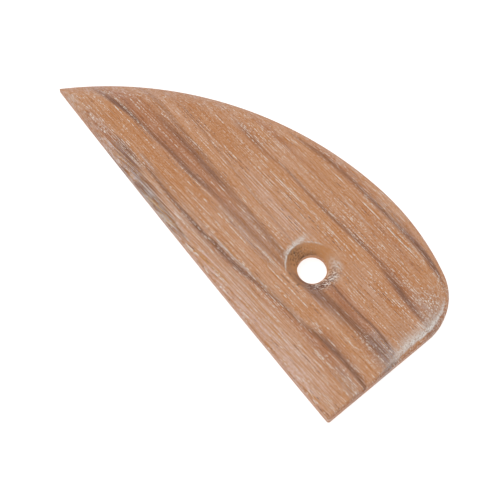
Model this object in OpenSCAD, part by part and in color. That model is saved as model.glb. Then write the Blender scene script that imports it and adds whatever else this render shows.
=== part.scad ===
// A potter's rib: one flat piece of hardwood with a straight working edge, a long bow,
// a rounded shoulder and a countersunk hole to hang it by.
// The outline is set out from the tip, with +X along the straight edge to the heel,
// +Y across to the bow and +Z up out of the bevelled face.
// The model's origin is the middle of the hang hole, on the back face.

/* [Outline] */
// Length of the straight edge, from the tip to the heel
rib_length = 139.7; // [130:0.1:150]
// Greatest width, from the straight edge to the crown of the bow
rib_width = 61.3; // [55:0.1:68]
// Distance of the crown, where the rib is widest, from the tip
crown_x = 103.2; // [98:0.2:110]
// Radius of the long bow between the tip and the crown
bow_r = 127; // [115:0.5:150]
// Radius of the tighter curve over the crown
crown_r = 85; // [70:0.5:95]
// Radius of the shoulder between the crown and the end edge
shoulder_r = 18; // [12:0.5:22]
// Lean of the end edge towards the tip, in degrees from square
end_lean = 1.7; // [0:0.1:5]
// How far the straight edge swells outwards at mid-length
straight_swell = 0.57; // [0.2:0.01:1.5]
// Corner radius at the tip
tip_r = 0.2; // [0.1:0.1:0.8]
// Corner radius at the heel
heel_r = 0.8; // [0.4:0.1:2]

/* [Thickness and edges] */
// Thickness of the wood
thickness = 6.35; // [5:0.05:8]
// Width of the bevel along the bow
bow_bevel = 5.8; // [3:0.1:7]
// Height that the bevel takes off the bow's edge
bow_drop = 3.4; // [2:0.1:4]
// Width of the easing along the straight edge
straight_bevel = 3.3; // [2:0.1:5]
// Height that the easing takes off the straight edge
straight_drop = 1.9; // [1:0.1:3]
// Width of the easing along the end edge
end_bevel = 1; // [0.6:0.1:2]
// Height that the easing takes off the end edge
end_drop = 1; // [0.6:0.1:2]
// Stretch of the end edge, from the heel, before its easing widens into the bow's bevel
end_plain = 22; // [12:0.5:30]
// Stretch of the straight edge, from the tip, over which its easing comes up from the bow's drop
tip_fade = 26; // [15:0.5:40]
// Stretch of the straight edge, before the heel, over which its easing narrows to the end edge's
heel_fade = 18; // [10:0.5:30]
// Roundness of every bevel: 1 is a flat chamfer and 2 a quarter round
bevel_round = 1.5; // [1.2:0.05:2]
// Easing round the back face
back_ease = 0.4; // [0.2:0.05:0.8]

/* [Hang hole] */
// Distance of the hole from the tip, along the straight edge
hole_x = 98.4; // [90:0.1:106]
// Distance of the hole from the straight edge
hole_y = 26.6; // [20:0.1:34]
// Bore of the hole
hole_d = 9.525; // [7:0.005:12]
// Diameter of the countersink at the bevelled face
sink_d = 16.4; // [14:0.1:20]
// Depth of the countersink
sink_depth = 2.8; // [1.5:0.1:4]

/* [Hidden] */
wood = "#b98c6c";
// Pieces that each stretch of the outline is drawn with
straight_n = 30;
corner_n = 5;
end_n = 18;
shoulder_n = 20;
crown_n = 14;
bow_n = 32;
// Pieces across a bevel
bevel_n = 7;
// Reach of the cutters past the faces that they leave through
cut_past = 1;
$fn = 96;

function dir(a) = [cos(a), sin(a)];
function bearing(v) = atan2(v.y, v.x);
function blend(a, b, k) = a + (b - a) * k;
// 0 before the start, 1 after the end, and a smooth rise between them
function ease(x) = let (k = min(max(x, 0), 1)) k * k * (3 - 2 * k);

// Where two circles cross, on the left of the line from the first centre to the second
function crossing(c0, r0, c1, r1) =
    let (v = c1 - c0, d = norm(v), a = (r0 * r0 - r1 * r1 + d * d) / (2 * d))
    c0 + (a * v + sqrt(r0 * r0 - a * a) * [-v.y, v.x]) / d;

// Where a circle crosses the line through p along unit vector u, on its far side
function line_crossing(p, u, c, r) =
    let (b = (p - c) * u, q = (p - c) * (p - c) - r * r)
    p + u * (sqrt(b * b - q) - b);

// The straight edge is a very flat arc, so that it swells outwards a little
straight_r = (pow(rib_length / 2, 2) + pow(straight_swell, 2)) / (2 * straight_swell);
straight_c = [rib_length / 2, straight_r - straight_swell];

// The end edge runs up from the heel along end_u, and end_in points into the wood from it
tip = [0, 0];
heel = [rib_length, 0];
end_u = dir(90 + end_lean);
end_in = dir(180 + end_lean);

// Each arc of the back touches the next: bow, crown, shoulder, then the end edge
crown_c = [crown_x, rib_width - crown_r];
bow_c = crossing(crown_c, bow_r - crown_r, tip, bow_r);
shoulder_c = line_crossing(heel + end_in * shoulder_r, end_u, crown_c, crown_r - shoulder_r);
shoulder_a = end_lean;
crown_a = bearing(shoulder_c - crown_c);
bow_a = bearing(crown_c - bow_c);
end_length = (shoulder_c - heel) * end_u;

// A station on the rim is [bevel width, bevel drop] at a place along an edge
bow_rim = [bow_bevel, bow_drop];
end_rim = [end_bevel, end_drop];
function straight_rim(k) =
    let (x = k * rib_length,
         to_tip = 1 - ease(x / tip_fade),
         to_heel = ease((x - rib_length + heel_fade) / heel_fade),
         plain = [straight_bevel, blend(straight_drop, bow_drop, to_tip)])
    blend(plain, end_rim, to_heel);
// The bow's bevel fades out round the shoulder and down the upper part of the end edge
shoulder_run = shoulder_r * (crown_a - shoulder_a) * PI / 180;
fade_length = end_length + shoulder_run - end_plain;
function back_rim(run) = blend(end_rim, bow_rim, ease((run - end_plain) / fade_length));

// Levels of the rim's profile, from the back face up to the bevelled face:
// two for the easing of the back, then the bevel as a superellipse
LEVELS = bevel_n + 3;
function bevel_t(level) = 90 * (level - 2) / bevel_n;
function inset(rim, level) =
    level == 0 ? back_ease :
    level == 1 ? 0 : rim[0] * (1 - pow(cos(bevel_t(level)), 2 / bevel_round));
function height(rim, level) =
    level == 0 ? 0 :
    level == 1 ? back_ease : thickness - rim[1] * (1 - pow(sin(bevel_t(level)), 2 / bevel_round));

function at(p, rim, level) = [p.x, p.y, height(rim, level)];
// Points along an arc that is set in from its radius as the rim there asks
function arc_edge(c, r, a0, a1, n, rims, level) = [
    for (i = [0 : n])
        let (rim = rims(i / n))
        at(c + (r - inset(rim, level)) * dir(blend(a0, a1, i / n)), rim, level)
];
// Points round a corner, leaving out its ends, which the edges beside it draw
function corner(c, r, a0, a1, rim, level) = [
    for (i = [1 : corner_n - 1])
        at(c + r * dir(blend(a0, a1, i / corner_n)), rim, level)
];

// One closed ring of the skin, anticlockwise from the tip along the straight edge
function ring(level) =
    let (bow_in_by = inset(bow_rim, level),
         tip_in_by = inset(straight_rim(0), level),
         end_in_by = inset(end_rim, level),
         tip_c = crossing(bow_c, bow_r - bow_in_by - tip_r,
                          straight_c, straight_r - tip_in_by - tip_r),
         heel_c = line_crossing(heel + end_in * (end_in_by + heel_r), -end_u,
                                straight_c, straight_r - end_in_by - heel_r),
         tip_a0 = bearing(tip_c - bow_c),
         tip_a1 = bearing(tip_c - straight_c) + 360,
         heel_a = bearing(heel_c - straight_c),
         end_0 = (heel_c - heel) * end_u)
    concat(
        arc_edge(straight_c, straight_r, tip_a1 - 360, heel_a, straight_n,
                 function (k) straight_rim(k), level),
        corner(heel_c, heel_r, heel_a, end_lean, end_rim, level),
        [for (i = [0 : end_n - 1])
            let (run = blend(end_0, end_length, i / end_n), rim = back_rim(run))
            at(heel + run * end_u + inset(rim, level) * end_in, rim, level)],
        arc_edge(shoulder_c, shoulder_r, shoulder_a, crown_a, shoulder_n,
                 function (k) back_rim(end_length + k * shoulder_run), level),
        [for (i = [1 : crown_n - 1])
            at(crown_c + (crown_r - bow_in_by) * dir(blend(crown_a, bow_a, i / crown_n)),
               bow_rim, level)],
        arc_edge(bow_c, bow_r, bow_a, tip_a0, bow_n, function (k) bow_rim, level),
        corner(tip_c, tip_r, tip_a0, tip_a1, bow_rim, level));

// The blank with its edges worked, as a skin through the rings
module blank() {
    rings = [for (level = [0 : LEVELS - 1]) ring(level)];
    n = len(rings[0]);
    points = [for (r = rings) each r];
    back = [for (i = [0 : n - 1]) i];
    face = [for (i = [n - 1 : -1 : 0]) (LEVELS - 1) * n + i];
    sides = [
        for (l = [0 : LEVELS - 2], i = [0 : n - 1])
            let (j = (i + 1) % n, a = l * n, b = a + n)
            each [[a + i, b + i, b + j], [a + i, b + j, a + j]]
    ];
    polyhedron(points, concat([back, face], sides));
}

// The bore, with a countersink that opens at the bevelled face
module hang_hole() {
    sink_slope = (sink_d - hole_d) / 2 / sink_depth;
    translate([0, 0, -cut_past])
        cylinder(d = hole_d, h = thickness + 2 * cut_past);
    translate([0, 0, thickness - sink_depth])
        cylinder(d1 = hole_d, d2 = sink_d + 2 * sink_slope * cut_past, h = sink_depth + cut_past);
}

module rib() {
    color(wood)
        difference() {
            translate([-hole_x, -hole_y, 0])
                blank();
            hang_hole();
        }
}

rib();
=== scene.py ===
import functools
import math

import bpy
import numpy as np
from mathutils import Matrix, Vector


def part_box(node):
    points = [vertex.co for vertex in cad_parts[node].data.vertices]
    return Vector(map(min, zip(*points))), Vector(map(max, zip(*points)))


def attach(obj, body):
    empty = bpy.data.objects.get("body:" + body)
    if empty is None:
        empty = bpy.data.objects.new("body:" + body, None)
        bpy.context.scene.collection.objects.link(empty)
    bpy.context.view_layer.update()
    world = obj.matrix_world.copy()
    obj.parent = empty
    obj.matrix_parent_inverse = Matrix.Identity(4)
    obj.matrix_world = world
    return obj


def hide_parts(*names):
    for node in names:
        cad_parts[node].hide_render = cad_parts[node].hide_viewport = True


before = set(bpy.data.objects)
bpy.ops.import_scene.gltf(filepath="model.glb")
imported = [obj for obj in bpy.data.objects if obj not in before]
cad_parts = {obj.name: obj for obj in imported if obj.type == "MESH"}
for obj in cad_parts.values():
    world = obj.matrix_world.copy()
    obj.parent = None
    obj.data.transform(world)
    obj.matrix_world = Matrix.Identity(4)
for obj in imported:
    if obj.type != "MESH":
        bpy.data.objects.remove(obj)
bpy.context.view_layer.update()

bl_info = {
    "name": "Pottery Rib",
    "version": (1, 0, 0),
    "blender": (4, 5, 0),
    "location": "View3D > Sidebar > Rib",
    "description": "Makes a wooden pottery rib with its bevels, hang hole, grain and residue",
    "category": "Add Mesh",
}

MM = 0.001
rib_low, rib_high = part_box("rib")


def length_mm(name, description, mm):
    """A length, given in mm and kept in metres."""
    return bpy.props.FloatProperty(
        name=name, description=description, default=mm * MM, unit="LENGTH", precision=5)


def angle_deg(name, description, degrees):
    """An angle, given in degrees and kept in radians."""
    return bpy.props.FloatProperty(
        name=name, description=description, default=math.radians(degrees), unit="ROTATION")


def hex_tone(name, what, colour):
    """A colour, as the sRGB hex of what it stands for."""
    return bpy.props.StringProperty(
        name=name, description="sRGB hex of " + what, default=colour)


class RibShape(bpy.types.PropertyGroup):
    """Sizes of the wooden rib, set out from its tip with +X along the straight edge."""

    rib_length: length_mm("Length", "Straight edge, from the tip to the heel", 139.7)
    rib_width: length_mm("Width", "From the straight edge to the crown of the bow", 61.3)
    thickness: length_mm("Thickness", "Thickness of the wood", (rib_high.z - rib_low.z) / MM)
    crown_x: length_mm("Crown", "Distance of the widest place from the tip", 103.2)
    bow_r: length_mm("Bow radius", "Radius of the long bow", 127)
    crown_r: length_mm("Crown radius", "Radius of the curve over the crown", 85)
    shoulder_r: length_mm("Shoulder radius", "Radius between the crown and the end edge", 18)
    end_lean: angle_deg("End lean", "Lean of the end edge towards the tip", 1.7)
    straight_swell: length_mm(
        "Swell", "How far the straight edge swells outwards at mid-length", 0.57)
    tip_r: length_mm("Tip radius", "Corner radius at the tip", 0.2)
    heel_r: length_mm("Heel radius", "Corner radius at the heel", 0.8)
    hole_x: length_mm("Hole from tip", "Distance of the hang hole from the tip", 98.4)
    hole_y: length_mm("Hole from edge", "Distance of the hang hole from the straight edge", 26.6)
    hole_r: length_mm("Bore radius", "Radius of the hang hole", 4.7625)
    sink_r: length_mm("Countersink radius", "Radius of the countersink at the face", 8.2)
    sink_depth: length_mm("Countersink depth", "Depth of the countersink", 2.8)


class RibEdges(bpy.types.PropertyGroup):
    """How the edges are eased: the width of each bevel and the height that it takes off."""

    bow_bevel: length_mm("Bow bevel", "Width of the bevel along the bow", 5.8)
    bow_drop: length_mm("Bow drop", "Height that the bevel takes off the bow", 3.4)
    straight_bevel: length_mm(
        "Straight bevel", "Width of the easing along the straight edge", 3.3)
    straight_drop: length_mm(
        "Straight drop", "Height that the easing takes off the straight edge", 1.9)
    end_bevel: length_mm("End bevel", "Width of the easing along the end edge", 1)
    end_drop: length_mm("End drop", "Height that the easing takes off the end edge", 1)
    end_plain: length_mm("Plain end", "Stretch of the end edge before its easing widens", 22)
    tip_fade: length_mm(
        "Tip fade", "Stretch from the tip where the straight easing is deeper", 26)
    heel_fade: length_mm(
        "Heel fade", "Stretch before the heel where the straight easing narrows", 18)
    bevel_round: bpy.props.FloatProperty(
        name="Bevel roundness", description="1 is a flat chamfer and 2 a quarter round",
        default=1.5, min=1.0, max=2.0)
    back_ease: length_mm("Back easing", "Easing round the back face", 0.4)


class WoodFinish(bpy.types.PropertyGroup):
    """Colours and grain of the bare hardwood."""

    heartwood: hex_tone("Heartwood", "the warm wood between the streaks", "#BD865B")
    pale: hex_tone("Pale wood", "the paler, pinker bands", "#C59B81")
    worn: hex_tone("Worn wood", "the dull, pinkish wood of the eased edges", "#AC8774")
    amber: hex_tone("Amber wood", "the deeper orange bands", "#B17340")
    russet: hex_tone("Russet wood", "the redder brown beside the streaks", "#A06643")
    grey: hex_tone("Weathered grey", "the greyed smears", "#9A8B84")
    streak: hex_tone("Streak", "the dark growth streaks", "#6E4634")
    filler: hex_tone("Pore dust", "the pale dust caught in the open pores", "#DCCFC3")
    residue: hex_tone("Residue", "the pale dust packed into end grain", "#DDD4CC")
    cutter: hex_tone("Cut wood", "the burnished wall of the countersink", "#C38957")
    # Painted shade on the countersink's wall away from the light, and the darker chatter there.
    shade_and_chatter: hex_tone("Shaded wood", "the rough, darkened side of the cut", "#74502F")
    grain_angle: angle_deg("Grain angle", "Angle of the pores from the straight edge", 4.5)
    layer_lean: bpy.props.FloatProperty(
        name="Layer lean", description="Sideways step of the growth layers for each step down",
        default=0.7)


class StudioSettings(bpy.types.PropertyGroup):
    """The camera over the rib and the soft light round it."""

    azimuth: angle_deg("Azimuth", "Direction that the camera stands in", 51.82)
    elevation: angle_deg(
        "Elevation", "Height of the camera above the floor, as an angle", 74)
    distance: length_mm("Distance", "From the camera to the point that it looks at", 600)
    lens: bpy.props.FloatProperty(
        name="Lens", description="Focal length in millimetres", default=135.51)
    aim: bpy.props.FloatVectorProperty(
        name="Aim", description="Point on the bench that the camera looks at",
        default=(-17.88 * MM, -10.92 * MM, 0.0), unit="LENGTH", precision=5)
    sky: bpy.props.FloatProperty(
        name="Sky", description="Strength of the even light from all round", default=0.8)
    softbox_power: bpy.props.FloatProperty(
        name="Softbox power", description="Watts of the round softbox", default=7.0)
    softbox_width: length_mm("Softbox width", "Diameter of the round softbox", 1200)
    softbox_place: bpy.props.FloatVectorProperty(
        name="Softbox place", description="Where the softbox hangs, beyond the tip",
        default=(-1.0, -0.05, 1.2), unit="LENGTH")
    softbox_tilt: angle_deg("Softbox tilt", "How far the softbox leans towards the rib", -40)
    paper_grey: bpy.props.FloatProperty(
        name="Paper", description="Share of the light that the floor paper sends back",
        default=0.5)
    paper_glow: bpy.props.FloatProperty(
        name="Paper glow", description="Light from below, through the floor paper",
        default=0.76)


def smooth_rise(x):
    """0 below 0, 1 above 1, and a smooth cubic rise between them."""
    k = np.clip(x, 0.0, 1.0)
    return k * k * (3.0 - 2.0 * k)


def smooth_fall(x):
    """1 below 0, 0 above 1, and a smooth cubic fall between them."""
    return 1 - smooth_rise(x)


def mix(a, b, k):
    """Runs from a to b as k runs from 0 to 1."""
    return a + (b - a) * k


def heading(angle):
    """Unit vectors at the angles, in radians, along a new last axis."""
    return np.stack([np.cos(angle), np.sin(angle)], axis=-1)


def bearing(v):
    """The angle of each plan vector, in radians."""
    return np.arctan2(v[..., 1], v[..., 0])


def circles_cross(c0, r0, c1, r1):
    """Where two circles cross, on the left of the line from the first centre to the second."""
    v = np.asarray(c1) - np.asarray(c0)
    d = np.linalg.norm(v, axis=-1)
    a = (r0 ** 2 - r1 ** 2 + d ** 2) / (2 * d)
    side = np.stack([-v[..., 1], v[..., 0]], axis=-1)
    h = np.sqrt(r0 ** 2 - a ** 2)
    return c0 + (a[..., None] * v + h[..., None] * side) / d[..., None]


def line_crosses(p, u, c, r):
    """Where a circle crosses the line through p along unit vector u, on its far side."""
    b = (p - c) @ u
    q = np.sum((p - c) ** 2, axis=-1) - r ** 2
    return p + (np.sqrt(b ** 2 - q) - b)[..., None] * u


# The shoulder's facets: where they start along the end edge, the stretch over which they come
# up, and the stretch before the crown over which they fade.
FACET_START, FACET_RISE, FACET_FADE = 14 * MM, 12 * MM, 9 * MM


class Outline:
    """The rib's plan: a flat arc, a leaning end edge and three arcs that touch each other.

    Columns run anticlockwise from the tip: straight edge, heel corner, end edge, shoulder,
    crown, bow and tip corner. Each ring of the skin sets the columns in by its own amounts.
    """

    def __init__(self, shape, edges, counts):
        self.shape, self.edges = shape, edges
        length, swell = shape.rib_length, shape.straight_swell
        self.straight_r = ((length / 2) ** 2 + swell ** 2) / (2 * swell)
        self.straight_c = np.array([length / 2, self.straight_r - swell])
        self.heel = np.array([length, 0.0])
        self.end_u = heading(math.pi / 2 + shape.end_lean)
        self.end_in = heading(math.pi + shape.end_lean)
        self.crown_c = np.array([shape.crown_x, shape.rib_width - shape.crown_r])
        self.bow_c = circles_cross(self.crown_c, shape.bow_r - shape.crown_r,
                                   np.zeros(2), shape.bow_r)
        self.shoulder_c = line_crosses(self.heel + self.end_in * shape.shoulder_r, self.end_u,
                                       self.crown_c, shape.crown_r - shape.shoulder_r)
        self.crown_a = bearing(self.shoulder_c - self.crown_c)
        self.bow_a = bearing(self.crown_c - self.bow_c)
        self.end_length = (self.shoulder_c - self.heel) @ self.end_u
        self.shoulder_run = shape.shoulder_r * (self.crown_a - shape.end_lean)
        self.counts = counts
        self.k = {name: np.arange(n) / n for name, n in counts.items()}
        self.rims()

    def rims(self):
        """Bevel width and drop for each column, faded from one edge's values to the next's."""
        e, k, counts = self.edges, self.k, self.counts
        bow = np.array([[e.bow_bevel], [e.bow_drop]])
        end = np.array([[e.end_bevel], [e.end_drop]])
        x = k["straight"] * self.shape.rib_length
        to_tip = smooth_fall(x / e.tip_fade)
        to_heel = smooth_rise((x - self.shape.rib_length + e.heel_fade) / e.heel_fade)
        straight = np.stack([
            e.straight_bevel + 0 * x, mix(e.straight_drop, e.bow_drop, to_tip)])
        tip = np.stack([mix(e.bow_bevel, e.straight_bevel, k["tip"]), e.bow_drop + 0 * k["tip"]])
        crown = self.end_length + self.shoulder_run
        run = np.concatenate([k["end"] * self.end_length,
                              self.end_length + k["shoulder"] * self.shoulder_run])
        to_bow = smooth_rise((run - e.end_plain) / (crown - e.end_plain))
        self.width, self.drop = np.concatenate([
            mix(straight, end, to_heel), np.repeat(end, counts["heel"], axis=1),
            mix(end, bow, to_bow), np.repeat(bow, counts["crown"] + counts["bow"], axis=1), tip,
        ], axis=1)
        self.starts = dict(zip(counts, np.cumsum([0, *counts.values()])))
        there = slice(self.starts["end"], self.starts["end"] + len(run))
        self.facet = np.zeros_like(self.width)
        self.facet[there] = (smooth_rise((run - FACET_START) / FACET_RISE)
                             * smooth_rise((crown - run) / FACET_FADE))
        self.crease = np.full_like(self.width, 0.5 * e.end_bevel)
        self.crease[there] = self.crease_at(run)

    def crease_at(self, run):
        """How far in from the outline the crease lies, a little unsteady as hand sanding is."""
        k = run / MM
        return (1.2 + 0.12 * np.sin(k * 0.55 + 1) + 0.07 * np.sin(k * 1.7)) * MM

    def place(self, p):
        """Distance in from the outline, distance along the end, and name of the nearest edge."""
        s = self.shape
        away = {name: p - c for name, c in (("straight", self.straight_c), ("bow", self.bow_c),
                                            ("crown", self.crown_c), ("end", self.shoulder_c))}
        reach = {name: np.linalg.norm(v, axis=-1) for name, v in away.items()}
        at = {name: bearing(v) for name, v in away.items()}
        straight = self.straight_r - reach["straight"]
        along = (p - self.heel) @ self.end_u
        end = np.where(along < self.end_length, (p - self.heel) @ self.end_in, 1.0)
        turning = (at["end"] > s.end_lean) & (at["end"] < self.crown_a) & (along > self.end_length)
        end = np.where(turning, s.shoulder_r - reach["end"], end)
        bow = np.where((at["crown"] > self.crown_a) & (at["crown"] < self.bow_a),
                       s.crown_r - reach["crown"], 1.0)
        bow = np.where(at["bow"] >= self.bow_a, s.bow_r - reach["bow"], bow)
        inset = np.minimum(np.minimum(straight, end), bow)
        run = np.where(turning, self.end_length + s.shoulder_r * (at["end"] - s.end_lean), along)
        return inset, run, np.where(inset == straight, "straight",
                                    np.where(inset == end, "end", "bow"))

    def ring(self, set_in):
        """Plan points of rings (rings, columns, 2), each column set in from the outline."""
        s = self.shape
        part = {n: set_in[:, self.starts[n]:self.starts[n] + c] for n, c in self.counts.items()}
        k = self.k
        at_tip, at_heel, at_bow = part["straight"][:, 0], part["heel"][:, 0], part["bow"][:, -1]
        tip_c = circles_cross(np.broadcast_to(self.bow_c, (len(set_in), 2)),
                              s.bow_r - at_bow - s.tip_r,
                              self.straight_c, self.straight_r - at_tip - s.tip_r)
        heel_c = line_crosses(self.heel + self.end_in * (at_heel + s.heel_r)[:, None],
                              -self.end_u, self.straight_c,
                              self.straight_r - at_heel - s.heel_r)
        tip_a0, tip_a1 = bearing(tip_c - self.bow_c), bearing(tip_c - self.straight_c)
        heel_a = bearing(heel_c - self.straight_c)

        def arc(c, r, a0, a1, name):
            """Centre plus radius times heading, with the angle running evenly from a0 to a1."""
            angle = mix(np.reshape(a0, (-1, 1)), np.reshape(a1, (-1, 1)), k[name])
            return np.reshape(c, (-1, 1, 2)) + (r + 0 * angle)[..., None] * heading(angle)

        end_0 = (heel_c - self.heel) @ self.end_u
        run = mix(end_0[:, None], self.end_length, k["end"])
        end = (self.heel + run[..., None] * self.end_u
               + part["end"][..., None] * self.end_in)
        return np.concatenate([
            arc(self.straight_c, self.straight_r - part["straight"], tip_a1, heel_a, "straight"),
            arc(heel_c, s.heel_r, heel_a, s.end_lean, "heel"),
            end,
            arc(self.shoulder_c, s.shoulder_r - part["shoulder"], s.end_lean, self.crown_a,
                "shoulder"),
            arc(self.crown_c, s.crown_r - part["crown"], self.crown_a, self.bow_a, "crown"),
            arc(self.bow_c, s.bow_r - part["bow"], self.bow_a, tip_a0, "bow"),
            arc(tip_c, s.tip_r, tip_a0, tip_a1 + 2 * math.pi, "tip"),
        ], axis=1)


def wavy(x, y, seed, count, low, high):
    """A smooth random field of about -1 to 1: the sum of plane waves of random direction.

    Each wave is the sine of the distance along its direction over its wavelength, from low to
    high, plus its phase. All three are drawn from the seed.
    """
    rng = np.random.default_rng(seed)
    total = np.zeros_like(x)
    for angle, length, phase in zip(rng.uniform(0, math.pi, count),
                                    rng.uniform(low, high, count),
                                    rng.uniform(0, 2 * math.pi, count)):
        along = x * math.cos(angle) + y * math.sin(angle)
        total += np.sin(2 * math.pi * along / length + phase)
    return total / math.sqrt(count)


# Columns and rings of the grid that makes the skin.
COLUMNS = {"straight": 190, "heel": 8, "end": 76, "shoulder": 58, "crown": 56, "bow": 170,
           "tip": 6}
BEVEL_RINGS = 20
WALL_RINGS = 7
EASE_RINGS = 4
FACE_RINGS = 46
BACK_RINGS = 24
SINK_RINGS = 34
BORE_RINGS = 8
# Reach of the countersink's rings past its rim, and how the face's rings crowd towards them.
SINK_SKIRT = 1.6 * MM
FACE_GRADING = 1.25
# Shares of the bevel's rings and of its drop that the shoulder's gentle facet takes.
GENTLE_RINGS, GENTLE_DROP = 0.6, 0.55
# Roundness of the countersink's rim, and depth of its splinters and of the cutter's arcs.
RIM_SOFT, SPLINTER_DEPTH, JUDDER_DEPTH = 0.045, 0.3 * MM, 0.12 * MM

# Sides of the countersink: bearing of the middle and reach to either side, in degrees.
SIDES = {"splintered": (12, 75), "juddered": (-168, 56), "lined": (-148, 42),
         "faintly lined": (145, 45), "fringed": (187, 36), "hazy": (62, 38), "torn": (8, 78),
         # The side named dark and the last side mark painted shade on the countersink's wall away
         # from the light.
         "smudged": (-36, 50), "faintly smudged": (-95, 60), "dark": (170, 80),
         "darkened_wall": (-168, 40)}

# Soft spots on the face: x, y, reach along and across in mm, and strength.
SPOTS = {
    "packed": ((102.6, 33.2, 2, 1.1, .8), (105.4, 30.4, 1.2, 1.6, .8)),
    "streaked": ((89.2, 29, .9, 2.2, .7),),
    # The spots under the countersink's rim are painted shadow, with some of the streak there.
    "rim_shadow": ((100.1, 19.4, .3, .6, 1), (95.6, 19.8, .5, .3, .8)),
    "notch": ((91.8, 25.1, 1.3, .25, 1),),
    "dots": ((131, 48.5, 6, 5.5, 1), (131, 25, 6, 4, .6)),
}

# What lies along the shoulder's crease, as (mm along the end from the heel, value): strength
# of the dust, how far outside the crease it starts, reach of its packed line inwards, the haze
# beyond that, and the painted shade on the wall outside.
CREASE_LINES = (
    ((20, 0), (24, .2), (27, .45), (30, .65), (34, .95), (46, 1), (50, .9), (54, .5), (57, 0)),
    ((24, .9), (33, 0)),
    ((24, .5), (30, 1.7), (34, 1.5), (38, 1.3), (42, 1.5), (46, .9), (50, .7), (54, .5)),
    ((24, .15), (30, .35), (34, .5), (39, .6), (42, .45), (46, .3), (54, .15)),
    ((38, 0), (42, 1), (52, 1), (57, 0)),
)


def sink_rim(shape, angle):
    """Radius of the countersink's rim at each bearing from the bore.

    The hand-held cutter wandered: the rim is a little long along one diagonal, a little wide
    on one side of the bore, and ragged by a tenth of a millimetre.
    """
    drawn_out = 0.55 * MM * np.cos(2 * (angle - math.radians(25)))
    shifted = 0.25 * MM * np.cos(angle - math.radians(130))
    ragged = 0.07 * MM * np.sin(9 * angle + 1.3) + 0.05 * MM * np.sin(23 * angle)
    return shape.sink_r + drawn_out + shifted + ragged


def on_side(angle, name):
    """1 at the middle of a side of the countersink, falling smoothly to 0 at its reach."""
    middle, reach = np.radians(SIDES[name])
    return smooth_fall(np.abs(np.angle(np.exp(1j * (angle - middle)))) / reach)


def spots(x, y, name):
    """The strongest of a set of soft spots, each a bell curve over its two reaches."""
    return np.max([strength * np.exp(-((x - x0) / reach_x) ** 2 - ((y - y0) / reach_y) ** 2)
                   for x0, y0, reach_x, reach_y, strength in SPOTS[name]], axis=0)


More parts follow.
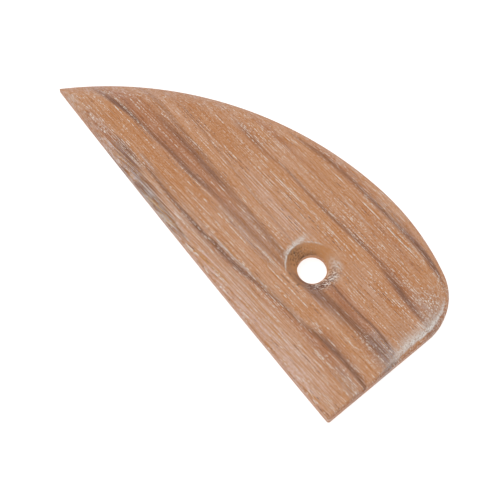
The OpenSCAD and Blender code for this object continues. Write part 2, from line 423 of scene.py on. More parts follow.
class RibSurface:
    """The whole skin of the rib on one grid of rings and columns, closed both ways.

    A column starts on the back rim of the bore, climbs the bore and the countersink, crosses
    the face to the bevel, comes down the edge and returns under the back to the bore.
    """

    def __init__(self, shape, edges):
        self.shape = shape
        self.outline = outline = Outline(shape, edges, COLUMNS)
        self.top = top = shape.thickness
        self.centre = centre = np.array([shape.hole_x, shape.hole_y])

        bevel_in, bevel_z = self.bevel(edges)
        bevel = np.dstack([outline.ring(bevel_in), bevel_z])
        k = np.linspace(0, 1, WALL_RINGS + 2)[1:-1, None]
        wall_z = mix(bevel_z[-1], edges.back_ease, k)
        wall = np.dstack([outline.ring(np.zeros_like(wall_z)), wall_z])
        t = np.linspace(0, math.pi / 2, EASE_RINGS)[:, None]
        ease_in = edges.back_ease * (1 - np.cos(t)) + 0 * bevel_z[:1]
        ease_z = edges.back_ease * (1 - np.sin(t)) + 0 * bevel_z[:1]
        ease = np.dstack([outline.ring(ease_in), ease_z])

        across = bevel[0, :, :2] - centre
        self.angle = bearing(across)
        hole = self.hole(shape, top)
        k = np.linspace(0, 1, FACE_RINGS + 2)[1:-1, None, None] ** FACE_GRADING
        face = mix(hole[-1], bevel[0], k)
        k = np.linspace(0, 1, BACK_RINGS + 2)[1:-1, None, None]
        back = mix(ease[-1], hole[0], k)
        self.skin = np.concatenate([hole, face, bevel, wall, ease, back])

    def bevel(self, edges):
        """Amount set in and height of each bevel ring.

        Along the bow and the straight edge the section is a soft superellipse quarter. Round
        the shoulder it turns into two facets, a gentle one and a steep one, with a crease.
        """
        outline = self.outline
        power = 2 / edges.bevel_round
        t = np.linspace(math.pi / 2, 0, BEVEL_RINGS + 1)[:, None]
        soft_in = outline.width * (1 - np.abs(np.cos(t)) ** power)
        soft_in[0] = outline.width
        soft_drop = outline.drop * (1 - np.sin(t) ** power)
        k = np.linspace(0, 1, BEVEL_RINGS + 1)[:, None]
        gentle = np.clip(k / GENTLE_RINGS, 0, 1)
        steep = np.clip((k - GENTLE_RINGS) / (1 - GENTLE_RINGS), 0, 1)
        flat_in = mix(outline.width, outline.crease, gentle) - outline.crease * steep
        flat_drop = outline.drop * (
            GENTLE_DROP * gentle ** 1.25 + (1 - GENTLE_DROP) * steep ** 1.3)
        return (mix(soft_in, flat_in, outline.facet),
                self.top - mix(soft_drop, flat_drop, outline.facet))

    def hole(self, shape, top):
        """The bore, then rings from its upper rim to a little way past the countersink.

        The height follows the cone and rounds over the rim: the depth times the mean of q and
        the root of q squared plus a small square, q being the share of the cone's run still
        inside the rim.
        """
        rim = sink_rim(shape, self.angle)
        bore_z = np.linspace(0, top - shape.sink_depth, BORE_RINGS + 1)[:-1, None]
        k = np.linspace(0, 1, SINK_RINGS)[:, None]
        radius = mix(shape.hole_r, rim + SINK_SKIRT, k)
        q = (rim - radius) / (rim - shape.hole_r)
        z = top - shape.sink_depth * (q + np.sqrt(q ** 2 + RIM_SOFT ** 2)) / 2
        points = self.centre + radius[..., None] * heading(self.angle)
        x, y = (points / MM)[..., 0], (points / MM)[..., 1]
        past_rim = (radius - rim) / MM
        splinter = np.abs(wavy(x * 0.4, y, 11, 12, 0.35, 1.0)) - 0.35
        torn = on_side(self.angle, "splintered") * smooth_fall(np.abs(past_rim + 0.9) / 2.2)
        z -= SPLINTER_DEPTH * torn * np.clip(splinter, 0, 1.2)
        z -= JUDDER_DEPTH * self.judder(x, y, self.angle, past_rim)
        bore = self.centre + (shape.hole_r + 0 * bore_z)[..., None] * heading(self.angle)
        return np.concatenate([
            np.dstack([bore, bore_z + 0 * rim]), np.dstack([points, np.minimum(z, top)])])

    def judder(self, x, y, angle, past_rim):
        """0 to 1 in the arcs that the skipping cutter left on the side towards the tip.

        The arcs are a sine of the distance to the rim, shifted by a slow random field, and
        broken up by a finer one. They fade out over the last 1.5 mm before the rim.
        """
        arcs = 0.5 + 0.5 * np.sin(past_rim * 8 + 2.5 * wavy(x, y, 12, 6, 1.5, 4))
        broken = smooth_rise(0.5 + 0.9 * wavy(x, y, 13, 9, 0.7, 2.0))
        return arcs * broken * on_side(angle, "juddered") * smooth_rise(-past_rim / 1.5)

    def edge_marks(self, x, plan, upper):
        """Marks of the rim: worn along the bow, dusty in the shoulder's crease, painted shade at
        the edge.

        The dust is a packed line from the crease inwards and a haze beyond it.
        """
        inset, run, edge = self.outline.place(plan)
        past_crease = (inset - self.outline.crease_at(run)) / MM
        inset, run = inset / MM, run / MM
        strength, early, reach, haze, painted_shade = (
            np.interp(run, *zip(*line)) for line in CREASE_LINES)
        past = past_crease + early
        near = 0.9 * smooth_rise(past / 0.3) * smooth_fall((past - 0.7 * reach) / 1.1)
        far = haze * smooth_fall((past - reach) / 3.2) * (past > 0)
        on_end = (edge == "end") * upper
        # Painted shade on the wall outside the shoulder's crease, and on the outline all round.
        painted_shade *= smooth_fall(past / 0.4) * on_end
        edge_shade = np.where(edge == "straight", 0.5, 0.9) * smooth_fall(inset / 1.1)
        worn = (edge == "bow") * smooth_fall(inset / 8) * smooth_fall((x - 20) / 60)
        return {"packed": strength * np.maximum(near, far) * on_end,
                "eased": 0.62 * worn * upper, "smooth": 0.9 * worn,
                "painted_shade": np.maximum(painted_shade, edge_shade)}

    def sink_marks(self, x, y, plan):
        """Marks of the countersink: its burnished wall, its tears, the dust at its rim and painted
        shade.
        """
        across = plan - self.centre
        angle, radius = bearing(across), np.linalg.norm(across, axis=-1)
        past_rim = (radius - sink_rim(self.shape, angle)) / MM
        past_bore = (radius - self.shape.hole_r) / MM
        side = {name: on_side(angle, name) for name in SIDES}
        hairs = 0.5 + 0.5 * wavy(x * 0.25, y, 14, 10, 0.3, 0.8)
        sink = smooth_rise(0.5 - past_rim / 0.3)
        line = np.exp(-(past_rim / 0.24) ** 2) * (
            side["lined"] + 0.7 * side["faintly lined"] * smooth_rise(hairs * 1.6))
        fringe = side["fringed"] * (
            smooth_rise((past_rim + 0.2) / 0.3) * smooth_fall((past_rim - hairs) / 0.7))
        patch = smooth_rise(hairs * 2.2 - 0.5) * spots(x, y, "packed")
        haze = 0.35 * side["hazy"] * smooth_fall(np.abs(past_rim + 1.4) / 2.6)
        torn = side["torn"] * smooth_fall(np.abs(past_rim + 1.8) / 3.1)
        smudge = np.maximum(side["smudged"], 0.3 * side["faintly smudged"])
        smudge *= smooth_rise(past_bore / 0.8) * smooth_fall((past_rim + 0.6) / 0.9)
        # Painted shade deep by the bore, on the side away from the light.
        dark = 0.9 * np.exp(-(past_bore / 0.9) ** 2) * side["dark"]
        arcs = 1.5 * self.judder(x, y, angle, past_rim)
        # Painted shade on the wall away from the light, with the chatter arcs and the notch darker
        # too.
        darkened_wall = sink * np.max([dark, 0.6 * side["darkened_wall"], arcs, spots(x, y, "notch")], axis=0)
        return {"packed": np.max([line, fringe, patch, haze, spots(x, y, "streaked")], axis=0),
                "sink": sink, "torn": torn, "smudge": smudge,
                "shade_and_chatter": np.maximum(darkened_wall, spots(x, y, "rim_shadow"))}

    def marks(self):
        """Amounts from 0 to 1 at each point that tell the wood where it is worn or dusty, and
        where shade is painted.
        """
        plan, z = self.skin[..., :2], self.skin[..., 2]
        x, y = plan[..., 0] / MM, plan[..., 1] / MM
        upper = smooth_rise((z - 0.5 * MM) / (2 * MM))
        edge, marks = self.edge_marks(x, plan, upper), self.sink_marks(x, y, plan)
        above = z > self.top - self.shape.sink_depth - 0.5 * MM
        for name in ("packed", "torn", "smudge", "shade_and_chatter"):
            marks[name] = marks[name] * above
        dots = spots(x, y, "dots") * upper
        # The mark that darkens the edges also darkens the dotted end grain a little.
        marks.update({
            "packed": edge["packed"] + marks["packed"], "eased": edge["eased"], "dots": dots,
            "painted_shade": np.maximum(edge["painted_shade"], 0.35 * dots),
            "smooth": np.maximum(marks["sink"], edge["smooth"])})
        return {name: np.clip(amount, 0, 1) for name, amount in marks.items()}


def grid_faces(rings, columns):
    """Quads of a grid that closes on itself both ways, wound to face outwards."""
    r, c = np.meshgrid(np.arange(rings), np.arange(columns), indexing="ij")
    r2, c2 = (r + 1) % rings, (c + 1) % columns
    return np.stack([r * columns + c, r2 * columns + c, r2 * columns + c2, r * columns + c2],
                    axis=-1).reshape(-1, 4)


def make_mesh(name, skin, marks, sharp):
    """A smooth-shaded mesh from a closed grid of points, with a value for each mark."""
    rings, columns = skin.shape[:2]
    faces = grid_faces(rings, columns)
    mesh = bpy.data.meshes.new(name)
    mesh.vertices.add(rings * columns)
    mesh.vertices.foreach_set("co", skin.astype(np.float32).ravel())
    mesh.loops.add(faces.size)
    mesh.loops.foreach_set("vertex_index", faces.astype(np.int32).ravel())
    mesh.polygons.add(len(faces))
    mesh.polygons.foreach_set("loop_start", np.arange(0, faces.size, 4, dtype=np.int32))
    mesh.polygons.foreach_set("use_smooth", np.ones(len(faces), dtype=bool))
    mesh.update(calc_edges=True)
    for mark, amount in marks.items():
        mesh.attributes.new(mark, "FLOAT", "POINT").data.foreach_set(
            "value", amount.astype(np.float32).ravel())
    mesh.validate()
    mesh.set_sharp_from_angle(angle=sharp)
    return stand(name, mesh)


def linear(colour, alpha=1.0):
    """Turns an sRGB hex colour into the linear values that a shader socket takes."""
    parts = np.array([int(colour[i:i + 2], 16) for i in (1, 3, 5)]) / 255
    values = np.where(parts <= 0.04045, parts / 12.92, ((parts + 0.055) / 1.055) ** 2.4)
    return (*values.tolist(), alpha)


def add(tree, kind, inputs=(), **settings):
    """Adds a shader node with its settings, and fills its inputs, by name or in order.

    A kind may end in an operation. An input may be a value, a socket, or a node, which gives
    its first output in use.
    """
    kind, *operation = kind.split()
    node = tree.nodes.new("ShaderNode" + kind)
    if operation:
        node.operation = operation[0]
    for name, value in settings.items():
        setattr(node, name, value)
    for key, value in inputs.items() if isinstance(inputs, dict) else enumerate(inputs):
        if isinstance(value, bpy.types.Node):
            value = next(out for out in value.outputs if out.enabled)
        if isinstance(value, bpy.types.NodeSocket):
            tree.links.new(value, node.inputs[key])
        elif value is not None:
            node.inputs[key].default_value = value
    return node


def bend(curve, points):
    """Lays a mapping curve smoothly through a list of points."""
    while len(curve.points) < len(points):
        curve.points.new(0.0, 0.0)
    for knot, place in zip(curve.points, points):
        knot.location = place
        knot.handle_type = "AUTO_CLAMPED"


# Growth bands of the board: for each tone a list of bands, each a list of (x, y, width,
# strength), in mm from the tip and with no strength where none is given. A band is strongest
# on y and fades over its width, towards the bow where that is positive.
BANDS = {"streak": (
    ((6, 9, 1.2), (9, 9.2, 1.8, .6), (12, 9.6, 2, .85), (16, 10.3, 2.1, 1), (20, 11.5, 2.1, 1),
     (25, 12.3, 1.9, .9), (30, 13.1, 1.6, .7), (36, 13.8, 1.5, .7), (42, 14.6, 1.8, .75),
     (50, 14.7, 2.2, .85), (57, 15.9, 2.2, .7), (66, 17, 1.8, .4), (75, 17.7, 1.8, .4),
     (84, 18.6, 1.6, .4), (92, 19.6, 1.5, .5), (98, 20.1, 1.2, .4), (104, 21.2, 1.2)),
    ((22, 18.7, -2), (27, 19.6, -2.3, .2), (31, 20, -2.5, .5), (35, 20.3, -2.5, .6),
     (40, 20.6, -2.4, .7), (46, 20.9, -2.4, .75), (52, 21.1, -2.4, .8), (58, 21.5, -2.4, .65),
     (65, 22.3, -2.6, .35), (72, 22.8, -2.5, .25), (80, 22.9, -2.5, .3), (87, 23, -2.5, .4),
     (92, 23.5, -2, .3), (96, 24, -2)),
    ((36, 5.5, -.8), (40, 5.8, -1.1, .7), (45, 6.1, -1.5, .85), (52, 6.1, -1.6, .85),
     (60, 6.4, -1.7, .95), (67, 6.8, -2, 1), (71, 7.1, -2.1, .85), (73, 7.5, -2, .95),
     (76, 7.65, -2, 1), (80, 7.95, -1.8, 1), (84, 8.4, -2, 1), (88, 9, -1.7, .95),
     (92, 9.7, -1.3, .8), (97, 10.5, -1.3, .6), (100, 11.3, -.9, .65), (105, 12, -.9, .6),
     (110, 12.4, -.9, .55), (114, 13.1, -1, .3), (118, 14, -1.2)),
    ((106, 11.6, 1), (114, 12.9, 2, .55), (118, 13.8, 2.3, .8), (123, 14.4, 2.5, .95),
     (128, 14.9, 2.2, .9), (134, 15, 2.1, .9), (140, 14.8, 1.4, .7)),
    ((24, 4.6, -1.5), (28, 4.8, -2, .5), (32, 5, -2.4, .65), (36, 5, -2, .5), (41, 4.6, -1.5)),
    ((26, 3.3, -1.2), (31, 3.4, -1.4, .6), (36, 3.3, -1.2, .4), (41, 3.1, -1)),
    ((33, 2, -.7), (38, 2.1, -.8, .6), (45, 2, -2.4, .75), (52, 2.3, -.9, .5), (58, 2, -.8, .4),
     (64, 1.7, -.8, .5), (68, 1.8, -.7)),
    ((95, 22.6, -2, .4), (98, 23.6, -2.8, .8), (101, 24.6, -3.6, 1), (104, 24.6, -3.4, 1),
     (106, 23.9, -3.3, .8), (110, 24.5, -3.4, .8), (114, 25, -3.4, .78), (118, 25.4, -3.6, .78),
     (122, 26, -3.3, .75), (127, 26.5, -3.3, .8), (131, 26.9, -3.4, .8), (135, 27, -3.2, .6),
     (140, 26.5, -3, .4)),
    ((104, 27.1, -.8), (106, 27.8, -.9, .7), (110, 28, -.9, .7), (115, 28.4, -.9, .65),
     (120, 28.9, -1, .7), (125, 29.7, -1, .75), (130, 29.8, -1.2, .7), (134, 29.4, -1.6, .6),
     (138, 28.2, -2, .2)),
    ((95, 20.6, -1.5), (99, 21.1, -1.8, .5), (104, 21.7, -2, .8), (109, 22.2, -1.8, .5),
     (115, 22.8, -1.5)),
    ((43, 37, 1.3), (48, 37.3, 1.8, .3), (54, 37.7, 1.8, .4), (60, 38.2, 1.4, .25),
     (66, 39.6, 1.1, .35), (72, 40.1, 1.1, .55), (80, 40.3, 1.4, .5), (88, 40.9, 1.5, .65),
     (94, 41.7, 1.5, .65), (100, 42.6, 1.5, .65), (106, 43.4, 1.3, .6), (112, 44, 1.2, .5),
     (118, 44.1, 1.4, .3), (124, 44, 1.4)),
    ((109, 43, 1), (113, 43, 1.4, .45), (117, 42.8, 2.2, .8), (122, 42.5, 2.3, .9),
     (127, 42.4, 2.3, .8), (131, 42.3, 2, .6), (135, 42.3, 1.8, .35), (139, 42.2, 1.5, .2)),
    ((57, 50.4, -1), (61, 51.2, -1.6, .5), (66, 52.2, -2.2, .6), (72, 53.6, -2.6, .65),
     (78, 54.3, -2.4, .65), (85, 55, -2, .65), (92, 55.4, -1.8, .8), (100, 56, -1.5, .8),
     (108, 57.3, -2.4, .75), (116, 58.4, -2.7, .85), (122, 58.5, -2.6, .85),
     (126, 57.7, -1.8, .35), (130, 56.6, -1.2)),
), "russet": (
    ((6, 9, 4, .2), (12, 11, 6, .9), (20, 12.8, 8, .8), (30, 13.8, 8, .75), (40, 15, 8, .85),
     (50, 16, 8, .7), (62, 17, 8, .6), (75, 18, 7, .35), (88, 19, 7, .3), (96, 20, 6)),
    ((70, 7.6, -3), (80, 8.2, -3.5, .5), (92, 9.8, -3, .35), (100, 11, -3.5, .6),
     (108, 11.8, -3, .5), (118, 13.8, -5, .7), (126, 14.6, -6, .6), (134, 14.8, -4, .3),
     (140, 15, -3, .2)),
    ((10, 3, -3), (16, 3.4, -4, .5), (26, 3.8, -4.5, .7), (34, 4.2, -4, .6), (42, 4, -3)),
    ((102, 26.8, -5), (108, 28.2, -6, .8), (116, 28.8, -6.5, .9), (124, 29.6, -6.5, .8),
     (130, 29.8, -6, .5), (137, 29, -5)),
    ((97, 22.5, -3), (103, 22.6, -3.5, .6), (110, 23.2, -3.5, .55), (119, 23.6, -3, .2),
     (128, 24.6, -3, .4), (136, 25, -3)),
    ((112, 14.6, 2), (120, 15.5, 3, .5), (128, 16, 3, .5), (136, 16, 2.5, .3), (140, 16, 2)),
    ((44, 36.8, 4), (54, 37.4, 4.5, .4), (66, 39, 3, .2), (80, 40, 3.5, .3), (100, 42.4, 3.5, .35),
     (112, 43, 4.5, .5), (122, 42.2, 6, .6), (132, 42.2, 5, .3), (138, 42, 4)),
    ((62, 53.5, -4), (72, 55.5, -5, .6), (86, 57, -5, .7), (98, 58, -3.5, .35),
     (108, 59.2, -4, .6), (118, 59, -4, .7), (126, 58, -3, .5), (132, 56, -2)),
    ((43, 43.2, 2), (48, 43.3, 3, .4), (55, 43.6, 3, .6), (64, 45, 3, .4), (72, 46.5, 2, .3),
     (82, 47.6, 2)),
    ((86, 50.2, 1.5), (96, 50.6, 1.6, .3), (105, 50.8, 2, .35), (115, 51, 2, .4),
     (122, 51.3, 1.5)),
), "grey": (
    ((33, 6, 1.8), (40, 6.3, 2, .35), (52, 6.8, 1.6, .25), (62, 7.3, 1.6, .25), (70, 7.8, 1.3, .3),
     (78, 8.3, 1.2, .45), (86, 9.1, 1.4, .4), (94, 10.2, 2, .4), (103, 11.7, 2, .35),
     (111, 12.8, 1.6, .2), (117, 14.4, 1.4)),
    ((36, 2, -2), (43, 2.1, -2.8, .45), (52, 2.1, -3.2, .65), (60, 1.9, -2.6, .45),
     (69, 1.8, -1.5)),
    ((127, 33, 8), (132, 33, 8, .2), (137, 33, 8, .1)),
    ((60, 19, 3), (68, 19, 4.5, .2), (78, 19.2, 5, .3), (88, 20.5, 4.5, .25), (95, 21, 4)),
    ((62, 15, 3), (72, 15.4, 4, .35), (84, 16, 4.5, .35), (94, 17, 3)),
    ((98, 22, -3), (104, 22.5, -3, .35), (112, 23, -3, .3), (120, 23.5, -2.5)),
    ((124, 44, 8), (130, 44, 10, .3), (136, 43, 10, .4), (140, 42, 10, .3)),
    ((125, 28.5, -4), (131, 29.6, -7.5, .6), (140, 28.8, -9, .65)),
    ((126, 11, 4), (133, 10.5, 5, .3), (140, 10, 5, .35)),
    ((24, 2.5, -4), (31, 3, -5, .3), (37, 3.2, -5.5, .4), (43, 3.2, -5, .2), (48, 3, -4)),
    ((4, 7, 5), (9, 8.5, 5, .35), (15, 10.5, 4, .2), (21, 12, 4)),
    ((90, 56.2, -2), (97, 57.2, -3, .25), (106, 58.4, -3.5, .3), (116, 58.6, -3, .3),
     (126, 57.5, -2, .1)),
), "stripe": (
    ((2, 3, -4, .3), (12, 3.2, -5, .3), (22, 3.6, -5.5, .5), (29, 4, -6, .9), (36, 4, -6, 1),
     (44, 3.6, -5.5, 1), (54, 3.2, -5, .9), (62, 2.8, -4.5, .6), (70, 2.5, -4)),
    ((44, 4.4, -3), (56, 4.6, -2.6, .5), (70, 5.2, -3, .45), (86, 6.6, -3.5, .35), (100, 8.5, -4)),
), "amber": (
    ((14, 6, 7), (22, 6.5, 10, .5), (34, 7.5, 10, .55), (46, 8.5, 9, .55), (57, 10, 8, .5),
     (66, 11, 7)),
    ((14, 15, 4), (22, 17, 5, .7), (34, 18, 5, .6), (46, 18.5, 4)),
    ((112, 37, 5), (118, 37.5, 5.5, .7), (125, 38, 5.5, .8), (131, 38, 4.5)),
    ((88, 52, -3), (98, 53.5, -3.5, .6), (112, 54.5, -3.5, .6), (124, 54.5, -3)),
    ((24, 26, 9), (34, 27, 11, .6), (50, 29, 11, .6), (64, 31, 9, .2), (84, 34, 7, .1),
     (100, 35, 8, .3), (115, 33, 11, .25), (128, 33, 11, .15), (134, 33, 10)),
    ((66, 43, 10), (84, 44.5, 11, .3), (104, 45.5, 11, .5), (120, 43, 10, .6), (130, 44, 10, .2),
     (136, 46, 10)),
), "dust": (
    ((44, 4.2, 1), (50, 3.8, 1.2, .35), (58, 3.9, 1.2, .3), (66, 4.2, 1.2, .35),
     (74, 4.8, 1.3, .2), (84, 5.2, 1.4, .15), (94, 6.2, 1.4, .15), (102, 7, 1)),
    ((2, .5, 1.2, .3), (6, .9, 2, .5), (11, .7, 1.6, .2), (20, .5, 1.6, .2), (30, 1.2, 1.6, .1),
     (36, 1.2, 1.2)),
    ((83, 47.9, .8), (90, 48.2, .9, .35), (98, 48.7, .9, .3), (104, 49.2, .8)),
    ((69, 8.1, .5), (73, 8.3, .45, .4), (78, 8.6, .5, .6), (84, 9.3, .45, .5), (90, 10.2, .4, .4),
     (97, 11.2, .4)),
    ((36, 1, 1.2), (44, 1.2, 1.8, .15), (54, 1.2, 1.8, .3), (64, 1.4, 1.2, .2), (70, 1.4, 1)),
), "pale": (
    ((50, 27, 5), (62, 28, 7, .6), (74, 28, 7, .75), (86, 29, 7, .75), (94, 31, 5)),
    ((56, 40, 8), (64, 41, 8, .4), (72, 41, 8, .35), (80, 41, 6)),
    ((104, 34, 6), (112, 34.5, 7, .5), (124, 34.5, 6, .4), (130, 34, 5)),
    ((56, -1, 7, .1), (66, -1, 8, .8), (76, -1, 9, 1), (90, 0, 10, 1), (110, 1, 12, 1),
     (128, 1, 11, .9), (140, 1, 8, .6)),
    ((50, 9, 6), (64, 10, 7, .35), (82, 11, 7, .4), (98, 13, 6, .3), (108, 15, 6)),
)}
BAND_PROFILE = ((0, 0), (.1, .2), (.28, .85), (.45, 1), (.7, .6), (1, 0))
BOARD_LENGTH, BOARD_WIDTH, BAND_WIDEST = 150.0, 64.0, 16.0

# Noises drawn out along the grain: size of a feature along and across in mm, how many times
# the second it is downwards, detail, roughness and seed. Real fibres are a few hundredths of
# a mm across, too fine to show, so those here are drawn 0.3 to 0.4 mm.
GRAIN = {
    "fibre": (7, .34, 1, 3, .6, 1), "thread": (22, .42, 4, 1, .5, 6),
    "hair": (13, .3, 4, 1, .5, 8), "fuzz": (.7, .5, 1, 2, .6, 9), "speck": (.6, .5, 1, 1, .5, 7),
    "bundle": (26, 1.3, 1, 2, .5, 2), "patch": (45, 9, 1, 2, .5, 3),
    "crowd": (30, 4, 1, 2, .5, 4), "dive": (8, 1.6, 1, 1, .5, 15),
}

# Vessels: spacing, radius, swing in and out, and length of a dash, all in mm, and a seed.
VESSELS = ((.38, .1, 1.4, .5, 1), (.55, .12, 1.2, 1.1, 2), (1.1, .13, .6, 3.6, 3))

# Kinds of node, those for sums with their operation.
NOISE, SPREAD = "TexNoise", "MapRange"
TIMES, TIMES_PLUS, PLUS, MINUS, OVER, LARGER = (
    "Math MULTIPLY", "Math MULTIPLY_ADD", "Math ADD", "Math SUBTRACT", "Math DIVIDE",
    "Math MAXIMUM")

# Shares of the wood that a noise breaks up: the noise, two of its values, the share at each of
# them, and how that meets the band or mark named last.
SHARES = {
    "pale": ("patch", .38, .75, 0, .6, LARGER, "pale"),
    "amber": ("bundle", .4, .75, 0, .35, LARGER, "amber"),
    "russet": ("bundle", .3, .7, .6, 1.2, TIMES, "russet"),
    "grey": ("fibre", .35, .6, .45, 1.25, TIMES, "grey"),
    "streak": ("fibre", .3, .65, 1, .7, TIMES, "streak"),
    "stripe": ("hair", .38, .62, -.62, .4, TIMES, "stripe"),
    "worn": ("sanded", .35, .65, .75, 1, TIMES, "eased"),
    # Painted shade and chatter on the countersink's wall, broken up by specks.
    "shade_and_chatter": ("speck", .4, .55, .5, 1.15, TIMES, "shade_and_chatter"),
    "torn": ("speck", .52, .57, 0, 1.1, TIMES, "torn"),
    "gaps": ("speck", .53, .45, 0, 1.2, TIMES, "torn"),
    "smudge": ("speck", .42, .58, 1.1, .35, TIMES, "smudge"),
    "dust": ("fibre", .4, .6, .1, 1.2, TIMES, "dust"),
}

# Fine light and dark lines: a noise, two of its values, the change of brightness at each, and
# how strong the change is in the pale bands, over that elsewhere.
LINES = (("bundle", .3, .7, -.05, .05, 0, 1), ("thread", .36, .64, -.1, .12, 1.1, .8),
         ("fuzz", .3, .7, -.24, .26, -.45, 1))


def sanded_hardwood(finish, shape, marks):
    """Open-pored tropical hardwood, sawn, sanded and left bare.

    Matt, with no film to shine: long fibres and growth bands, pores cut open as short dashes
    on the faces and as dots on the ends, and pale dust caught in the pores and end grain.
    """
    material = bpy.data.materials.new("Hardwood_Sanded")
    material.use_nodes = True
    tree = material.node_tree
    tree.nodes.clear()
    put = functools.partial(add, tree)

    # Places in mm from the tip, leaning with the growth layers and wandering like real fibres.
    place = put("Mapping", {
        "Vector": put("TexCoord").outputs["Object"], "Scale": (1 / MM,) * 3,
        "Location": (shape.hole_x / MM, shape.hole_y / MM, -shape.thickness / MM)})
    x, y, z = put("SeparateXYZ", [place]).outputs
    slow = put("Mapping", {"Vector": place, "Scale": (1 / 38, 1 / 16, 1 / 9)})
    wander = put(NOISE, {"Vector": slow, "Scale": 1.0, "Detail": 2.0})
    layer = put(TIMES_PLUS, [z, -finish.layer_lean, y])
    layer = put(TIMES_PLUS, [wander, 1.5, layer])
    layer = put(MINUS, [layer, 0.75])
    slope = put(TIMES_PLUS, [x, -math.tan(finish.grain_angle), layer])
    fibre_place = put("CombineXYZ", [x, slope, z])
    grain = {"sanded": put(NOISE, {"Vector": place, "Scale": 2.6, "Detail": 1.0})}
    for name, (length, width, deep, detail, roughness, seed) in GRAIN.items():
        drawn = put("Mapping", {
            "Vector": fibre_place, "Location": (seed, 2 * seed, 3 * seed),
            "Scale": (1 / length, 1 / width, 1 / width / deep)})
        grain[name] = put(NOISE, {"Vector": drawn, "Scale": 1.0, "Detail": detail,
                                  "Roughness": roughness})

    # How much of each mark and of each tone's bands there is. A band's curves give its centre,
    # width and strength along the board, and its profile the fade across the grain.
    amount = {mark: put("Attribute", attribute_name=mark).outputs["Fac"]
              for mark in marks}
    along = put(OVER, [x, BOARD_LENGTH])
    along = put("CombineXYZ", [along] * 3)
    ragged = put(TIMES_PLUS, [grain["fibre"], 1.1, layer])
    ragged = put(MINUS, [ragged, 0.55])
    for tone, knots in ((tone, knots) for tone, bands in BANDS.items() for knots in bands):
        track = put("VectorCurve", {"Vector": along})
        track.mapping.extend = "HORIZONTAL"
        for column, scale in zip((1, 2, 3), (BOARD_WIDTH, BAND_WIDEST, 1.0)):
            bend(track.mapping.curves[column - 1],
                 [(knot[0] / BOARD_LENGTH, (*knot, 0)[column] / scale) for knot in knots])
        track.mapping.update()
        centre, width, strength = put("SeparateXYZ", [track]).outputs
        off = put(TIMES_PLUS, [centre, -BOARD_WIDTH, ragged])
        share = put(OVER, [off, width])
        share = put(TIMES_PLUS, [share, 0.75 / BAND_WIDEST, 0.25])
        fade = put("FloatCurve", {"Value": share})
        bend(fade.mapping.curves[0], BAND_PROFILE)
        fade.mapping.update()
        shade = put(TIMES, [fade, strength], use_clamp=True)
        if tone in amount:
            shade = put(LARGER, [amount[tone], shade])
        amount[tone] = shade

    shares = {}
    for name, (noise, low, high, at_low, at_high, meets, other) in SHARES.items():
        spread = put(SPREAD, [grain[noise], low, high, at_low, at_high])
        shares[name] = put(meets, [spread, amount[other]])

    # Where the shoulder's bevel cuts the vessels across, they open as dots.
    ends = put("TexVoronoi", {"Vector": place, "Scale": 1.2})
    ends = put(SPREAD, [ends.outputs["Distance"], 0.17, 0.38, 0.75, 0.0])
    pores = put(TIMES, [ends, amount["dots"]])

    # Elsewhere they run along the fibres as tubes, one to each cell of a flat pattern across the
    # grain, and dive in and out of the surface, which opens them as rows of dashes. Real ones
    # are 0.15 mm across, and are drawn about 0.2 mm to show. Most hold pale dust, some are dark.
    crowd = put(SPREAD, [grain["crowd"], 0.38, 0.6, 0.3, 1.1])
    broken = put(SPREAD, [grain["fuzz"], 0.36, 0.56, 0.25, 1.2])
    for spacing, radius, swing, dash, seed in VESSELS:
        deep = put(TIMES_PLUS, [grain["dive"], swing, z])
        cross = put("CombineXYZ", [slope, deep])
        cells = put("TexVoronoi", {"Vector": cross, "Scale": 1 / spacing},
                    voronoi_dimensions="2D")
        tube = put(SPREAD, [cells.outputs["Distance"], 0.6 * radius / spacing,
                            1.3 * radius / spacing, 1.0, 0.0])
        bright, start, _ = put("SeparateXYZ", [cells.outputs["Color"]]).outputs
        start = put(TIMES, [start, 900.0 + seed])
        stitch = put(NOISE, {"Vector": put("CombineXYZ", [x, start]),
                             "Scale": 1 / dash, "Detail": 1.0}, noise_dimensions="2D")
        stitch = put(SPREAD, [stitch, 0.442, 0.532, 0.0, 1.0])
        shown = put(SPREAD, [bright, 0.0, 1.0, -0.9, 1.6])
        shown = put(TIMES_PLUS, [amount["dots"], 0.6, shown])
        for factor in (stitch, shown, crowd, broken):
            tube = put(TIMES, [tube, factor])
        pores = put(PLUS, [pores, tube])
    open_wood = put(TIMES_PLUS, [amount["smooth"], -0.85, 1.0])
    crossed = put(LARGER, [amount["streak"], amount["stripe"]])
    crossed = put(TIMES_PLUS, [crossed, -0.55, 1.0])
    for factor in (open_wood, crossed):
        pores = put(TIMES, [pores, factor])

    # Pale fibres are greyer than dark ones: the red hardly changes and the blue the most.
    lines = put(SPREAD, [grain["fibre"], 0.28, 0.72, 0.71, 1.27])
    for noise, low, high, dark, light, in_pale, elsewhere in LINES:
        change = put(SPREAD, [grain[noise], low, high, dark, light])
        strength = put(TIMES_PLUS, [amount["pale"], in_pale, elsewhere])
        change = put(TIMES_PLUS, [change, strength, 1.0])
        lines = put(TIMES, [lines, change])
    lines = put("VectorMath MULTIPLY_ADD", [lines, (0.4, 1.0, 2.1), (0.6, 0.0, -1.1)])

    # The countersink is burnished between the streaks, and open where it was torn or smudged.
    kept = put(TIMES_PLUS, [amount["streak"], -0.9, 1.0])
    burnished = put(TIMES, [amount["sink"], kept])
    gaps = put(LARGER, [shares["gaps"], shares["smudge"]])
    packed = put(LARGER, [amount["packed"], shares["dust"]])
    caught = put(SPREAD, [grain["speck"], 0.35, 0.58, 0.3, 1.15])
    caught = put(TIMES, [caught, packed])
    caught = put(LARGER, [caught, shares["torn"]])

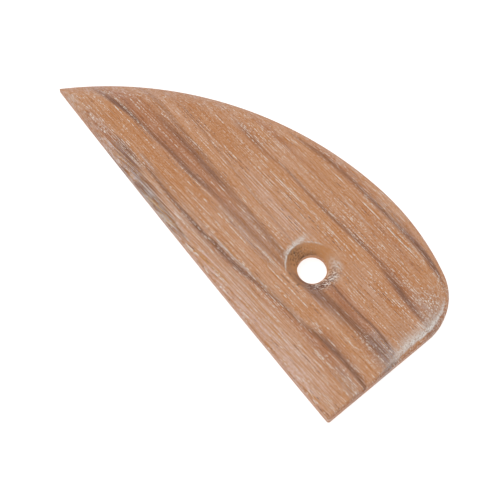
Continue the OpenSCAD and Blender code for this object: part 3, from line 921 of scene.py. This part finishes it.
    # Layers of colour from the wood up: a tone, where it lies and how strongly. The lines
    # multiply the wood under them.
    layers = (
        ("pale", shares["pale"], 1), ("amber", shares["amber"], 1),
        # The second russet here is painted shade at the edges.
        ("russet", shares["russet"], 1), ("russet", amount["painted_shade"], 0.75),
        ("grey", shares["grey"], 1), ("streak", shares["streak"], 1),
        ("residue", shares["stripe"], 1), ("streak", shares["stripe"], -1),
        ("worn", shares["worn"], 1), ("lines", 1.0, 1),
        # Over the cut wall goes painted shade on its side away from the light, with its chatter.
        ("cutter", burnished, 0.85), ("shade_and_chatter", shares["shade_and_chatter"], 1),
        ("grey", amount["smudge"], 0.6), ("streak", gaps, 1),
        ("filler", pores, 1.2), ("streak", pores, -1.4),
        ("grey", packed, 0.55), ("residue", caught, 1))
    colour = linear(finish.heartwood)
    for tone, where, strength in layers:
        share = put(TIMES, [where, strength])
        over = lines if tone == "lines" else linear(getattr(finish, tone))
        blend = "MULTIPLY" if tone == "lines" else "MIX"
        colour = put("Mix", {0: share, 6: colour, 7: over}, data_type="RGBA", blend_type=blend,
                     clamp_factor=True)

    height = put(TIMES_PLUS, [pores, -0.7, grain["fibre"]])
    bump = put("Bump", {"Height": height, "Strength": 0.5, "Distance": 0.06 * MM})
    rough = put(SPREAD, [grain["fibre"], 0.2, 0.8, 0.72, 0.56])
    shader = put("BsdfPrincipled", {
        "Base Color": colour, "Roughness": rough, "IOR": 1.5, "Normal": bump})
    put("OutputMaterial", {"Surface": shader})
    return material


def lit_paper(studio):
    """Matt white paper on a light table: lit from above and a little from below."""
    material = bpy.data.materials.new("Paper_Lit")
    material.use_nodes = True
    tree = material.node_tree
    tree.nodes.clear()
    shader = add(tree, "BsdfPrincipled", {
        "Base Color": (*[studio.paper_grey] * 3, 1.0), "Roughness": 0.9,
        "Emission Color": linear("#FFFFFF"), "Emission Strength": studio.paper_glow})
    add(tree, "OutputMaterial", {"Surface": shader})
    return material


def stand(name, data):
    """Puts a mesh, lamp or camera into the scene as an object."""
    piece = bpy.data.objects.new(name, data)
    bpy.context.scene.collection.objects.link(piece)
    return piece


class RIB_OT_body(bpy.types.Operator):
    """Makes the wooden rib with its bevels and hang hole"""

    bl_idname = "rib.body"
    bl_label = "Wooden rib"

    def execute(self, context):
        scene = context.scene
        surface = RibSurface(scene.rib_shape, scene.rib_edges)
        # The solid's arcs are drawn with flats, so its box is a hair inside the true curves.
        skin = np.clip(surface.skin - [*surface.centre, 0.0], rib_low, rib_high)
        marks = surface.marks()
        piece = make_mesh("Rib_Wood", skin, marks, math.radians(40))
        piece.data.materials.append(sanded_hardwood(scene.rib_wood, scene.rib_shape, marks))
        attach(piece, "root")
        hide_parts("rib")
        return {"FINISHED"}


class RIB_OT_studio(bpy.types.Operator):
    """Sets the camera, the pale floor and the soft studio light"""

    bl_idname = "rib.studio"
    bl_label = "Studio"

    def execute(self, context):
        studio = context.scene.rib_studio
        lens = bpy.data.cameras.new("Rib_Camera")
        lens.lens = studio.lens
        lens.sensor_width = 36.0
        lens.clip_start = 10 * MM
        camera = stand("Rib_Camera", lens)
        a, e = studio.azimuth, studio.elevation
        back = np.array([math.sin(a) * math.cos(e), -math.cos(a) * math.cos(e), math.sin(e)])
        camera.location = (np.array(studio.aim) + back * studio.distance).tolist()
        camera.rotation_euler = (math.pi / 2 - e, 0.0, a)
        context.scene.camera = camera

        sheet = bpy.data.meshes.new("Studio_Floor")
        sheet.from_pydata([(-3, -3, 0), (3, -3, 0), (3, 3, 0), (-3, 3, 0)], [], [(0, 1, 2, 3)])
        sheet.materials.append(lit_paper(studio))
        stand("Studio_Floor", sheet)

        world = bpy.data.worlds.new("Studio_World")
        world.use_nodes = True
        world.node_tree.nodes.clear()
        sky = add(world.node_tree, "Background",
                  {"Color": linear("#FFFFFF"), "Strength": studio.sky})
        add(world.node_tree, "OutputWorld", {"Surface": sky})
        context.scene.world = world

        disk = bpy.data.lights.new("Softbox", "AREA")
        disk.shape = "DISK"
        disk.size = studio.softbox_width
        disk.energy = studio.softbox_power
        softbox = stand("Softbox", disk)
        softbox.location = studio.softbox_place
        softbox.rotation_euler = (0.0, studio.softbox_tilt, 0.0)
        context.scene.view_settings.view_transform = "Standard"
        return {"FINISHED"}


class RIB_PT_panel(bpy.types.Panel):
    """Lists the sizes, the finish and the buttons that make the rib"""

    bl_idname = "RIB_PT_panel"
    bl_label = "Pottery Rib"
    bl_space_type = "VIEW_3D"
    bl_region_type = "UI"
    bl_category = "Rib"

    def draw(self, context):
        for group in GROUPS:
            settings = getattr(context.scene, group)
            for name in settings.bl_rna.properties.keys():
                if name not in ("rna_type", "name"):
                    self.layout.prop(settings, name)
        self.layout.operator(RIB_OT_studio.bl_idname)
        self.layout.operator(RIB_OT_body.bl_idname)


GROUPS = {"rib_shape": RibShape, "rib_edges": RibEdges, "rib_wood": WoodFinish,
          "rib_studio": StudioSettings}
CLASSES = (*GROUPS.values(), RIB_OT_studio, RIB_OT_body, RIB_PT_panel)


def register():
    for cls in CLASSES:
        bpy.utils.register_class(cls)
    for name, group in GROUPS.items():
        setattr(bpy.types.Scene, name, bpy.props.PointerProperty(type=group))


def unregister():
    for name in GROUPS:
        delattr(bpy.types.Scene, name)
    for cls in reversed(CLASSES):
        bpy.utils.unregister_class(cls)


def main():
    register()
    bpy.ops.rib.studio()
    bpy.ops.rib.body()


if __name__ == "__main__":
    main()
